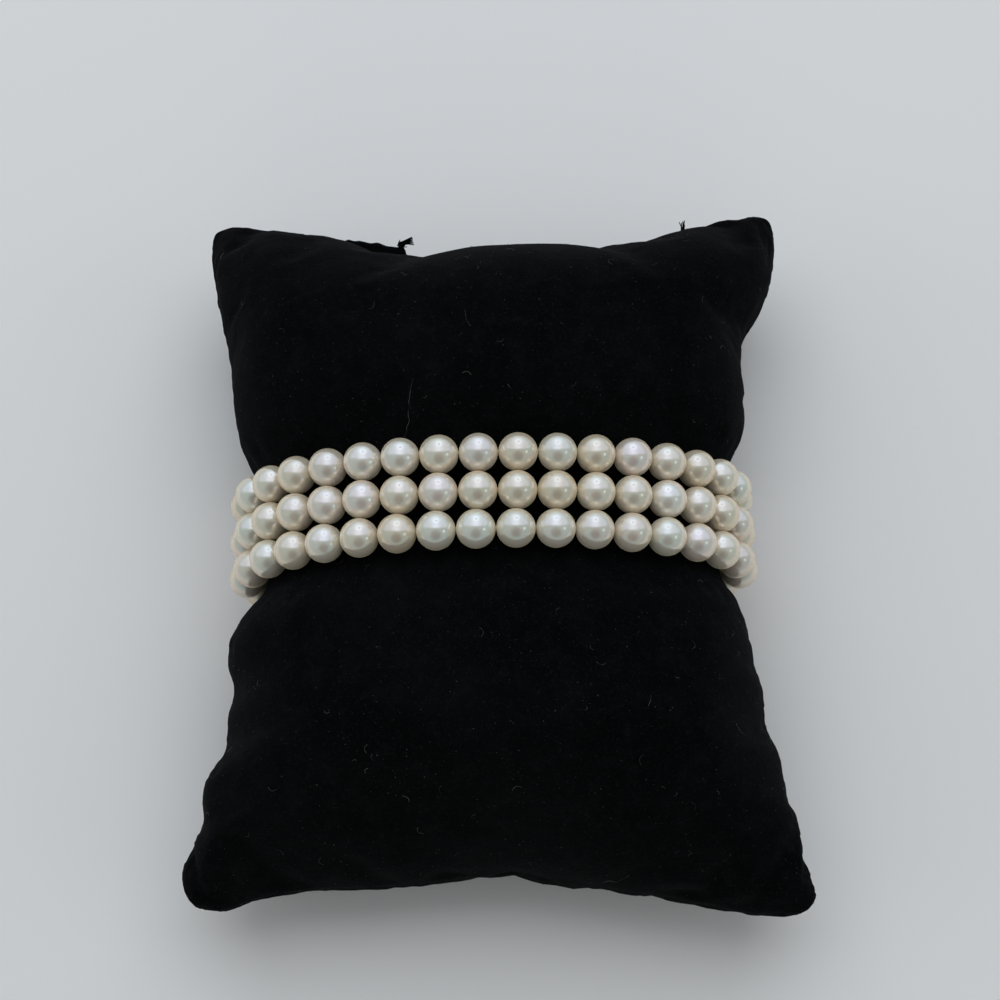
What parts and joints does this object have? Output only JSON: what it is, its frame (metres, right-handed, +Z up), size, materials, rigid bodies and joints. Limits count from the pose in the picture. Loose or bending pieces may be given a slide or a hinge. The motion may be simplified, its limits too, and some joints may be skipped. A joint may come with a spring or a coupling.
{
  "type": "pearl bracelet on a display pillow",
  "caption": "Strands of round pearls side by side on one clasp, closed round the waist of a plain black velvet display pillow.",
  "frame": {"origin": "middle of the whole object's outline, on the surface that the pillow lies on", "axes": "+Y along the pillow, across the strands, +X across the pillow, +Z up through the crown of the strands"},
  "size_m": [0.0968, 0.1166, 0.0442],
  "materials": {
    "pearl": "high lustre cream nacre with faint rose and green overtones",
    "clasp_metal": "polished silver",
    "velvet": "short-pile black velvet"
  },
  "bodies": {
    "root": {"strand_upper": "pearl", "strand_middle": "pearl", "strand_lower": "pearl", "clasp": "clasp_metal", "display_pillow": "velvet"}
  },
  "joints": []
}
